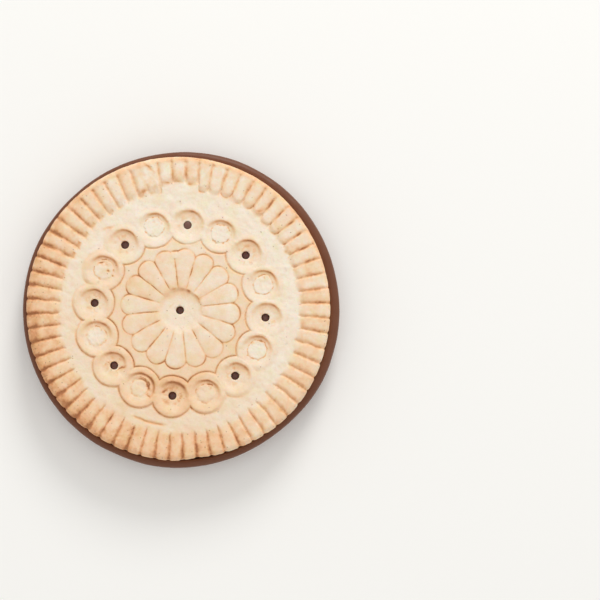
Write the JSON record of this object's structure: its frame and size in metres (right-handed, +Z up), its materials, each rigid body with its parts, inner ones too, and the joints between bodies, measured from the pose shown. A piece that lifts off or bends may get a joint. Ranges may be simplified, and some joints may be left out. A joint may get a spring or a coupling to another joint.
{
  "type": "chocolate-backed sugar cookie",
  "caption": "Round stamped sugar cookie with a rosette, a chain of small cups and a ribbed edge, set in a shallow tray of milk chocolate.",
  "frame": {"origin": "on the resting plane, under the centre of the chocolate tray", "axes": "+Z up through the cookie's thickness, out of the biscuit's face; +Y towards the top of the stamp; +X to the right"},
  "size_m": [0.065, 0.065, 0.0093],
  "materials": {
    "baked_dough": "matt, pale crumb with browned edges",
    "milk_chocolate": "smooth satin milk chocolate"
  },
  "bodies": {
    "root": {"biscuit": "baked_dough", "chocolate_tray": "milk_chocolate"}
  },
  "joints": []
}
